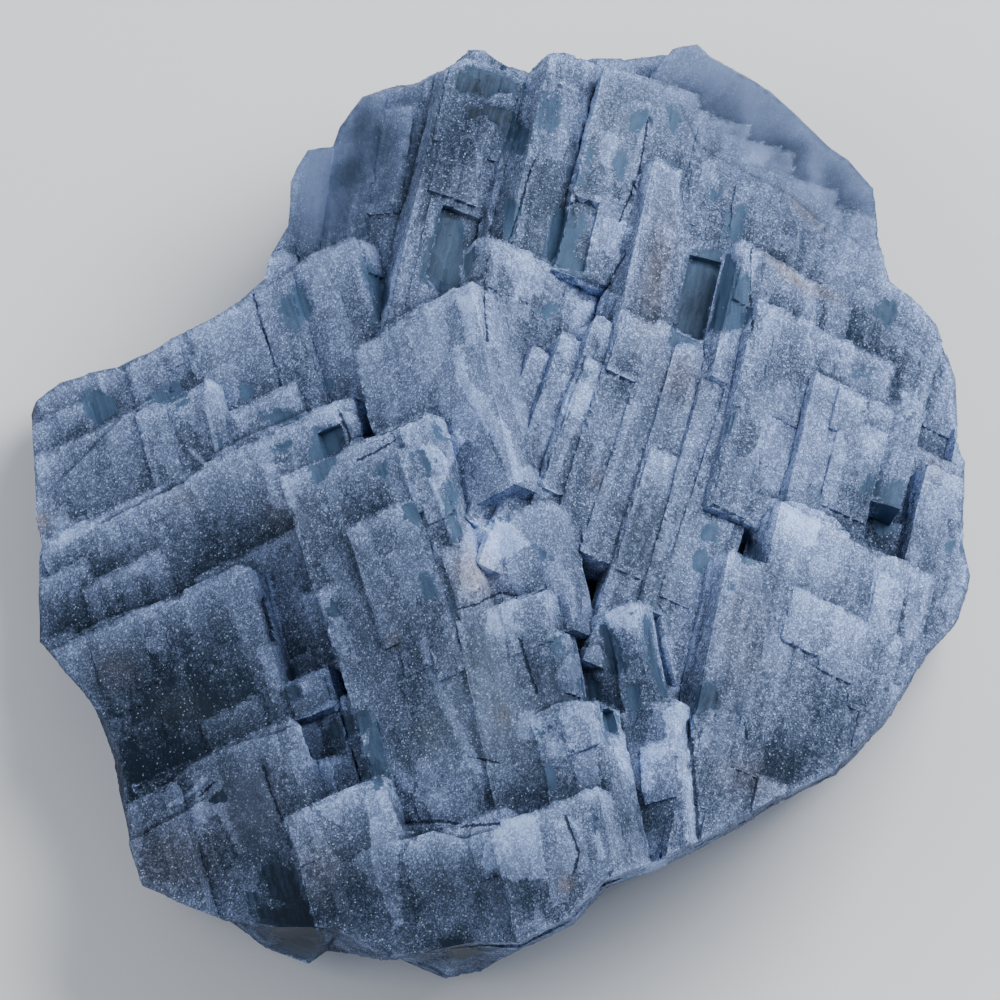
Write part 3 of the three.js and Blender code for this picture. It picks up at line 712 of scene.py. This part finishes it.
def growth_patterns(shown, grown):
    """Noises and random blocks that make the crust uneven."""
    coarse = noise_field(shown, 2.4, 1)
    fine = noise_field(shown, 0.7, 2)
    torn = grown + np.stack([0.45 * fine, 1.2 * coarse, 0.3 * fine], axis=1)
    return {
        "coarse": coarse,
        "fine": fine,
        "cloud": noise_field(shown, 9.0, 6),
        "crumbs": noise_field(shown, 1.3, 9),
        "streaks": noise_field(grown * [1.0, 0.14, 0.5], 1.1, 5),
        "wide_blocks": blocks(torn, (2.6, 5.5, 3.0), 3),
        "small_blocks": blocks(torn, (1.2, 2.3, 2.0), 8),
        "splinters": blocks(torn, (0.9, 6.5, 2.0), 14) ** 2,
    }


def below_rims(rims, fade):
    """The nearest rim line's brightness, which fades below the line."""
    return rims[:, 2] * np.where(rims[:, 0] > 0, np.exp(-rims[:, 1] / fade), 0)


def frost_and_light_share(front, edges, marks, pattern, streaky):
    """How thick the frost is, from about 0 to 1. Painted light is added in: brighter along the top edges and
    ridges, partly as painted highlight, and painted shade at the feet of the steps and in the tones.
    """
    rim = np.maximum(edges["rim"], below_rims(marks["rims"], 3.5))
    frost = 0.41 + 0.05 * pattern["streaks"] * streaky + 0.12 * (pattern["splinters"] - 0.33) * streaky
    frost += 0.12 * pattern["cloud"] + 0.03 * pattern["coarse"] + 0.05 * (pattern["small_blocks"] - 0.5)
    frost += np.where(front, 0, 0.10 + 0.15 * pattern["coarse"])
    # Painted highlight along the top edges and ridges, painted shade at the feet of the steps, and the tones
    # with their painted shade.
    return frost + 0.34 * rim - 0.18 * edges["foot"] + 0.12 * edges["ridge"] + 0.4 * marks["tone"]


def crust_height(front, edges, marks, pattern, streaky):
    """How far the crust stands out of the solid's surface."""
    sunk = 1 / (1 + np.exp(-marks["window"] / 0.10))
    thick = marks["thick"]
    raised = thick[:, 1] / (1 + np.exp(-thick[:, 0] / 0.15))
    height = CRUST * (0.6 + 0.5 * pattern["fine"] + 0.5 * pattern["coarse"] + 1.2 * raised)
    height += BLOCK_RELIEF * (pattern["wide_blocks"] - 0.5 + 0.6 * (pattern["small_blocks"] - 0.5))
    height += SPLINTER_RELIEF * pattern["splinters"] * streaky
    height += RIM_RELIEF * below_rims(marks["rims"], 4.0)
    height += EDGE_CRUMB * edges["brink"] * pattern["crumbs"]
    height += RIB_RELIEF * np.exp(-((marks["ribs"][:, 1] / 0.35) ** 2))
    height = height * (1 - sunk) * (1 - 0.7 * marks["milky"]) - WINDOW_SINK * sunk
    height -= CLEFT_RELIEF * np.exp(-((marks["clefts"][:, 1] / 0.35) ** 2))
    return np.where(front, height, 0.30 * pattern["coarse"] + 0.12 * pattern["fine"])


def dress(piece, face):
    """Gives the fine surface its crust and its windows, and the fields that its material reads."""
    mesh = piece.data
    points, normals = mesh_arrays(mesh)
    shown = to_display(points)
    facing = (normals @ TO_ROW)[:, 2]
    behind = face.sample(face.depth, shown) - shown[:, 2]
    front = (behind < FRONT_BEHIND) & (facing > FRONT_FACING)
    habit, grown = growth_places(face, shown)
    streaky = 0.25 + 0.75 * np.isin(habit, STREAKED)
    edges = edge_shares(face, shown, front)
    marks = mark_fields(shown, front, facing)
    pattern = growth_patterns(shown, grown)

    off_floor = np.clip(points[:, 2] / FLOOR_FADE, 0, 1)
    height = crust_height(front, edges, marks, pattern, streaky) * off_floor
    points = points + normals * height[:, None]
    points[:, 2] = np.maximum(points[:, 2], 0)
    mesh.vertices.foreach_set("co", (points * MM).ravel())
    mesh.update()

    # The frost field holds painted highlights and painted shade as well as the frost's thickness, and the
    # groove field holds painted shade.
    fields = marks | {
        "grown": grown,
        "streaky": streaky,
        "groove_shade": edges["groove_shade"],
        "frost": frost_and_light_share(front, edges, marks, pattern, streaky),
    }
    for name, values in fields.items():
        add_field(mesh, name, values)
    return fields | {"points": points, "front": front.astype(float)}


def grow_grains(piece, fields):
    """Tiny cube corners all over the frost, each a closed three-sided pyramid sunk into the crust."""
    mesh = piece.data
    mesh.calc_loop_triangles()
    triangles = np.empty(len(mesh.loop_triangles) * 3, int)
    mesh.loop_triangles.foreach_get("vertices", triangles)
    triangles = triangles.reshape(-1, 3)
    corners = fields["points"][triangles]
    normal = np.cross(corners[:, 1] - corners[:, 0], corners[:, 2] - corners[:, 0])
    area = np.linalg.norm(normal, axis=1) / 2
    share = {name: fields[name][triangles].mean(axis=1) for name in ("frost", "window", "milky", "front")}
    frost = np.clip(share["frost"], 0.1, 1.2) * np.where(share["window"] > 0.1, 0.04, 1)
    frost *= (1 - 0.9 * share["milky"]) * (0.12 + 0.88 * share["front"])
    rng = np.random.default_rng(41)
    picked = rng.choice(len(triangles), GRAINS, p=area * frost / np.sum(area * frost))
    a, b = rng.random(GRAINS), rng.random(GRAINS)
    a, b = np.where(a + b > 1, 1 - a, a), np.where(a + b > 1, 1 - b, b)
    base = corners[picked]
    foot = base[:, 0] + a[:, None] * (base[:, 1] - base[:, 0]) + b[:, None] * (base[:, 2] - base[:, 0])
    out = normal[picked] / np.linalg.norm(normal[picked], axis=1, keepdims=True)
    size = GRAIN_SMALLEST + (GRAIN_LARGEST - GRAIN_SMALLEST) * rng.random(GRAINS) ** 3
    lean = out + 0.35 * rng.normal(size=(GRAINS, 3))
    lean /= np.linalg.norm(lean, axis=1, keepdims=True)
    helper = np.where(np.abs(lean[:, :1]) < 0.7, [[1.0, 0, 0]], [[0, 1.0, 0]])
    side = np.cross(lean, helper)
    side /= np.linalg.norm(side, axis=1, keepdims=True)
    other = np.cross(lean, side)
    spin = rng.random(GRAINS) * 2 * math.pi
    tip = foot + lean * (GRAIN_TIP * size)[:, None]
    points = [tip]
    for k in range(3):
        angle = spin + k * 2 * math.pi / 3
        reach = side * np.cos(angle)[:, None] + other * np.sin(angle)[:, None]
        points.append(foot + (reach - lean * GRAIN_ROOT) * size[:, None])
    points = np.stack(points, axis=1).reshape(-1, 3)
    points[:, 2] = np.maximum(points[:, 2], 0)
    first = 4 * np.arange(GRAINS)[:, None]
    wound = ((0, 1, 2), (0, 2, 3), (0, 3, 1), (1, 3, 2))
    faces = np.concatenate([first + np.array([three]) for three in wound])
    grains = bpy.data.meshes.new("grains")
    grains.from_pydata((points * MM).tolist(), [], faces.tolist())
    add_field(grains, "shade", np.repeat(rng.random(GRAINS), 4))
    add_field(grains, "bright", np.repeat(share["frost"][picked], 4))
    return new_object("druse_grains", grains)


class Nodes:
    """Short names for the shader nodes that the materials use. A value is a socket or a number."""

    def __init__(self, name):
        self.material = bpy.data.materials.new(name)
        self.material.use_nodes = True
        self.tree = self.material.node_tree
        self.shader = self.tree.nodes["Principled BSDF"]
        self.output = self.tree.nodes["Material Output"]

    def put(self, socket, value):
        if isinstance(value, bpy.types.NodeSocket):
            self.tree.links.new(value, socket)
        else:
            socket.default_value = value

    def math(self, operation, a, b=0.0, c=0.0):
        node = self.tree.nodes.new("ShaderNodeMath")
        node.operation = operation
        for socket, value in zip(node.inputs, (a, b, c)):
            self.put(socket, value)
        return node.outputs[0]

    def total(self, *terms):
        """The sum of numbers and of (value, weight) pairs."""
        result = None
        for term in terms:
            value = self.math("MULTIPLY", *term) if isinstance(term, tuple) else term
            result = value if result is None else self.math("ADD", result, value)
        return result

    def step(self, value, low, high):
        """Rises smoothly from 0 at low to 1 at high."""
        node = self.tree.nodes.new("ShaderNodeMapRange")
        node.interpolation_type = "SMOOTHSTEP"
        for socket, number in zip(node.inputs, (value, low, high, 0.0, 1.0)):
            self.put(socket, number)
        return node.outputs[0]

    def field(self, name, output="Fac"):
        node = self.tree.nodes.new("ShaderNodeAttribute")
        node.attribute_name = name
        return node.outputs[output]

    def times(self, a, b):
        """The product of two values, where the first may be a field's name."""
        return self.math("MULTIPLY", self.field(a) if isinstance(a, str) else a, b)

    def dimmed(self, colour, factor):
        node = self.tree.nodes.new("ShaderNodeVectorMath")
        node.operation = "SCALE"
        self.put(node.inputs[0], colour)
        self.put(node.inputs["Scale"], factor)
        return node.outputs[0]

    def parts(self, vector):
        node = self.tree.nodes.new("ShaderNodeSeparateXYZ")
        self.put(node.inputs[0], vector)
        return node.outputs

    def line(self, parts, waver):
        """1 within the nearest line's own half width of it, and 0 away from it."""
        near = self.total(self.math("ABSOLUTE", parts[0]), (waver, 0.7))
        inner = self.step(self.math("DIVIDE", near, self.math("MAXIMUM", parts[2], 0.01)), 1.4, 0.6)
        return self.math("MULTIPLY", inner, self.math("LESS_THAN", parts[1], 0.8))

    def scaled(self, vector, factors):
        node = self.tree.nodes.new("ShaderNodeVectorMath")
        node.operation = "MULTIPLY"
        self.put(node.inputs[0], vector)
        node.inputs[1].default_value = factors
        return node.outputs[0]

    def wavered(self, vector, place, scale, reach):
        """The vector, pushed about by soft noise."""
        node = self.tree.nodes.new("ShaderNodeTexNoise")
        self.put(node.inputs["Vector"], place)
        node.inputs["Scale"].default_value = scale
        node.inputs["Detail"].default_value = 2.0
        push = self.tree.nodes.new("ShaderNodeVectorMath")
        push.operation = "MULTIPLY_ADD"
        self.put(push.inputs[0], node.outputs["Color"])
        push.inputs[1].default_value = (reach,) * 3
        self.put(push.inputs[2], vector)
        return push.outputs[0]

    def place(self):
        """Position on the piece, in millimetres."""
        node = self.tree.nodes.new("ShaderNodeTexCoord")
        return self.scaled(node.outputs["Object"], (1 / MM,) * 3)

    def noise(self, vector, scale, detail=2.0, roughness=0.5):
        node = self.tree.nodes.new("ShaderNodeTexNoise")
        self.put(node.inputs["Vector"], vector)
        node.inputs["Scale"].default_value = scale
        node.inputs["Detail"].default_value = detail
        node.inputs["Roughness"].default_value = roughness
        return node.outputs[0]

    def crystals(self, vector, scale):
        """A random number for each block of a wall of uneven blocks."""
        node = self.tree.nodes.new("ShaderNodeTexVoronoi")
        node.distance = "CHEBYCHEV"
        self.put(node.inputs["Vector"], vector)
        node.inputs["Scale"].default_value = scale
        split = self.tree.nodes.new("ShaderNodeSeparateColor")
        self.tree.links.new(node.outputs["Color"], split.inputs[0])
        return split.outputs[0]

    def grit(self, vector, size):
        """A random number for each tiny cube of that size."""
        snap = self.tree.nodes.new("ShaderNodeVectorMath")
        snap.operation = "SNAP"
        self.put(snap.inputs[0], vector)
        snap.inputs[1].default_value = (size,) * 3
        node = self.tree.nodes.new("ShaderNodeTexWhiteNoise")
        self.tree.links.new(snap.outputs[0], node.inputs["Vector"])
        return node.outputs["Value"]

    def ramp(self, value, stops):
        node = self.tree.nodes.new("ShaderNodeValToRGB")
        self.put(node.inputs[0], value)
        elements = node.color_ramp.elements
        while len(elements) < len(stops):
            elements.new(0.5)
        for element, (position, colour) in zip(elements, stops):
            element.position = position
            element.color = (*colour, 1)
        return node.outputs[0]

    def mix(self, share, a, b):
        node = self.tree.nodes.new("ShaderNodeMix")
        node.data_type = "RGBA"
        self.put(node.inputs["Factor"], share)
        for socket, colour in ((node.inputs[6], a), (node.inputs[7], b)):
            self.put(socket, colour if isinstance(colour, bpy.types.NodeSocket) else (*colour, 1))
        return node.outputs[2]

    def bump(self, height, distance):
        node = self.tree.nodes.new("ShaderNodeBump")
        self.put(node.inputs["Height"], height)
        node.inputs["Distance"].default_value = distance * MM
        return node.outputs[0]

    def set(self, **values):
        for name, value in values.items():
            self.put(self.shader.inputs[name.replace("_", " ")], value)


# Colours, and how fluorite bends and absorbs light.
CLEAR_BLUE = (0.017, 0.028, 0.050)
THIN_FROST = (0.057, 0.078, 0.131)
FROST = (0.136, 0.180, 0.304)
THICK_FROST = (0.245, 0.337, 0.600)
WHITE_FROST = (0.455, 0.620, 1.000)
# A painted glint: the colour of tiny white dots scattered in the crust.
PAINTED_GLINT = (0.600, 0.760, 1.000)
CLEAR_DEEP = (0.010, 0.020, 0.040)
CLEAR_PALE = (0.070, 0.128, 0.225)
MILK_THIN = (0.032, 0.050, 0.090)
MILK_THICK = (0.150, 0.208, 0.370)
WARM_TINT = (0.36, 0.29, 0.24)
GREEN_TINT = (0.090, 0.120, 0.125)
# The dark blue of painted shade: in the inner side corners, above the rims and along the clefts.
PAINTED_SHADE_BLUE = (0.010, 0.016, 0.030)
FLUORITE_IOR = 1.434
ABSORBED_TO = (0.35, 0.62, 0.92)
ABSORPTION = 120


def growth_textures(n):
    """The random numbers that the crystal's colours share."""
    place = n.place()
    grown = n.wavered(n.field("grown", "Vector"), place, 1.3, 0.7)
    ragged = n.noise(place, 1.4, 4.0, 0.8)
    block = n.crystals(n.scaled(grown, (0.42, 0.20, 0.3)), 1.0)
    return {
        "streak": n.noise(n.scaled(grown, (2.4, 0.16, 0.8)), 1.0, 2.0, 0.65),
        "block": block,
        "patch": n.total(-0.5, block),
        "rough_edge": n.total(-0.5, ragged),
        "clump": n.step(ragged, 0.49, 0.55),
        "fine": n.grit(place, GRIT_SIZE),
    }


def frost_density(n, t):
    """How white the frost is: the crust's own field with its painted highlights and shade, thick patches, ribs,
    growth streaks and grains.
    """
    thick = n.parts(n.field("thick", "Vector"))
    thick_edge = n.total(thick[0], (t["rough_edge"], 1.3), (t["patch"], 0.5))
    ragged_block = n.total(t["block"], (t["rough_edge"], 0.9))
    streak = n.times(n.total(-0.5, t["streak"]), n.field("streaky"))
    grain = n.total(-0.33, n.times(t["fine"], t["fine"]))
    return n.total(
        n.field("frost"),
        (n.total(-0.5, t["clump"]), 0.06),
        (streak, 0.30),
        (n.step(ragged_block, 0.76, 0.80), 0.10),
        (n.step(ragged_block, 0.22, 0.18), -0.09),
        (n.times(n.step(thick_edge, -0.10, 0.14), thick[1]), 0.27),
        (n.line(n.parts(n.field("ribs", "Vector")), t["rough_edge"]), 0.25),
        (grain, n.total(0.18, (t["clump"], 0.14), (n.field("frost"), 0.34))),
    )


def frost_colour(n, t):
    """The crust's colour, with its warm and greenish tints and painted glints as tiny white dots."""
    density = frost_density(n, t)
    stops = [(0.08, CLEAR_BLUE), (0.28, THIN_FROST), (0.50, FROST), (0.74, THICK_FROST), (1.0, WHITE_FROST)]
    frost = n.ramp(density, stops)
    frost = n.mix(n.times("warm", 0.65), frost, n.mix(density, CLEAR_BLUE, WARM_TINT))
    frost = n.mix(n.times("green", 0.45), frost, GREEN_TINT)
    # Painted glints: tiny white dots where a grain would catch the light.
    return n.mix(n.times(n.step(t["fine"], 0.975, 1.0), 0.5), frost, PAINTED_GLINT)


def milk_colour(n, t):
    """The colour of cloudy clear crystal, with its soft veils."""
    veil = n.total(n.field("frost"), (n.field("veils"), 0.6), (t["rough_edge"], 0.12), (t["streak"], 0.10))
    return n.mix(n.step(veil, 0.10, 0.95), MILK_THIN, MILK_THICK)


def clear_colour(n, t):
    """The colour of the clear windows, deeper along its growth and where the tones are dark, so they share the
    painted shade towards the lower left and the bottom.
    """
    depth = n.total(n.field("tone"), (n.total(-0.5, t["streak"]), 0.7), (t["patch"], 0.2))
    return n.mix(n.step(depth, -0.52, 0.12), CLEAR_DEEP, CLEAR_PALE)


def with_dark_lines(n, t, colour):
    """The colour with painted shade in the inner corners beside the crystal faces, above the rims and along the
    clefts.
    """
    rims = n.parts(n.field("rims", "Vector"))
    clefts = n.parts(n.field("clefts", "Vector"))
    above = n.times(n.math("LESS_THAN", rims[0], 0.0), n.step(rims[1], 0.7, 0.05))
    # Painted shade in the inner corners where a neighbouring face rises at the side.
    colour = n.mix(n.times("groove_shade", 0.2), colour, PAINTED_SHADE_BLUE)
    # Painted shade on the upper side of each rim line.
    colour = n.mix(n.times(n.times(above, rims[2]), 0.75), colour, PAINTED_SHADE_BLUE)
    # Painted shade along the clefts.
    return n.mix(n.times(n.line(clefts, t["rough_edge"]), 0.85), colour, PAINTED_SHADE_BLUE)


def crystal_material():
    n = Nodes("fluorite_surface")
    t = growth_textures(n)
    window_edge = n.total(n.field("window"), (t["rough_edge"], 2.3), (t["patch"], 1.1))
    window = n.step(window_edge, -0.04, 0.04)
    smooth = n.math("MAXIMUM", window, n.field("milky"))

    colour = n.mix(n.times("milky", 0.9), frost_colour(n, t), milk_colour(n, t))
    colour = n.mix(n.times(window, 0.93), colour, clear_colour(n, t))
    # Darker or lighter by the tones, which hold painted shade towards the lower left and the bottom.
    colour = n.dimmed(with_dark_lines(n, t, colour), n.total(1.0, (n.field("tone"), 0.55)))
    not_milky = n.math("SUBTRACT", 1.0, n.field("milky"))
    crust = n.times(n.step(n.field("window"), 0.1, -0.1), not_milky)
    n.set(Base_Color=colour, Roughness=n.total(0.62, (smooth, -0.20)))
    n.set(Normal=n.bump(n.times(t["fine"], crust), 0.03))
    n.set(IOR=FLUORITE_IOR, Specular_IOR_Level=0.07, Transmission_Weight=n.times(smooth, 0.15))
    absorb = n.tree.nodes.new("ShaderNodeVolumeAbsorption")
    absorb.inputs["Color"].default_value = (*ABSORBED_TO, 1)
    absorb.inputs["Density"].default_value = ABSORPTION
    n.tree.links.new(absorb.outputs[0], n.output.inputs["Volume"])
    return n.material


def grain_material():
    n = Nodes("druse")
    # The bright field is the crust's field under each grain, so the grains carry its painted highlights and
    # shade; the shade field is only a random tint for each grain.
    shade = n.total((n.field("shade"), 0.32), (n.field("bright"), 0.75), 0.03)
    stops = [(0.0, THIN_FROST), (0.35, FROST), (0.7, THICK_FROST), (1.0, WHITE_FROST)]
    n.set(Base_Color=n.ramp(shade, stops), Roughness=0.3, IOR=FLUORITE_IOR)
    return n.material


def floor_material():
    n = Nodes("floor")
    n.set(Base_Color=(0.78, 0.79, 0.80, 1), Roughness=0.8)
    return n.material


def lay_floor():
    size = 6.0
    mesh = bpy.data.meshes.new("floor")
    corners = [(-size, -size, 0), (size, -size, 0), (size, size, 0), (-size, size, 0)]
    mesh.from_pydata(corners, [], [(0, 1, 2, 3)])
    mesh.materials.append(floor_material())
    new_object("floor", mesh)


def shown_direction(x, y, z):
    """A direction given in the display frame, in the part's frame."""
    return Vector(TO_ROW @ np.array([x, y, z])).normalized()


def add_softbox(name, way, distance, size, power):
    """A round soft lamp. The clear windows don't mirror it, so they keep their depth."""
    light = bpy.data.lights.new(name, "AREA")
    light.shape = "DISK"
    light.size = size
    light.energy = power
    lamp = new_object(name, light)
    lamp.location = way * distance + Vector(DISPLAY_ORIGIN * MM)
    lamp.rotation_euler = way.to_track_quat("Z", "Y").to_euler()
    lamp.visible_glossy = False


def light_studio():
    add_softbox("key", shown_direction(0.55, 0.60, 0.62), 0.55, 0.45, 4.6)
    add_softbox("fill", shown_direction(-0.6, 0.1, 0.8), 0.9, 0.6, 2.6)
    world = bpy.data.worlds.new("studio")
    bpy.context.scene.world = world
    world.use_nodes = True
    world.node_tree.nodes["Background"].inputs[0].default_value = (0.80, 0.86, 0.95, 1)
    world.node_tree.nodes["Background"].inputs[1].default_value = 0.5


def place_camera():
    """Looks along the display frame's z from far away, so that a pixel is a tenth of a millimetre."""
    distance = 4000.0
    shown_width = 100.0
    camera = bpy.data.cameras.new("camera")
    camera.sensor_width = 36
    camera.lens = camera.sensor_width * distance / shown_width
    camera.clip_end = 20
    rig = new_object("camera", camera)
    middle = to_row(np.array([[0.0, 1.0, 0.0]]))[0]
    away = shown_direction(0, 0, 1)
    rig.location = Vector(middle * MM) + away * distance * MM
    rig.rotation_euler = away.to_track_quat("Z", "Y").to_euler()
    bpy.context.scene.camera = rig


def main():
    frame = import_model()
    source = frame["nodes"][NODE]
    face = Face(source)
    crystal = fine_surface(source)
    fields = dress(crystal, face)
    crystal.data.materials.clear()
    crystal.data.materials.append(crystal_material())
    crystal.data.shade_smooth()
    crystal.data.set_sharp_from_angle(angle=SHARP_ANGLE)
    druse = grow_grains(crystal, fields)
    druse.data.materials.append(grain_material())
    for piece in (crystal, druse):
        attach(piece, "root")
        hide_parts(NODE)
    lay_floor()
    light_studio()
    place_camera()


main()
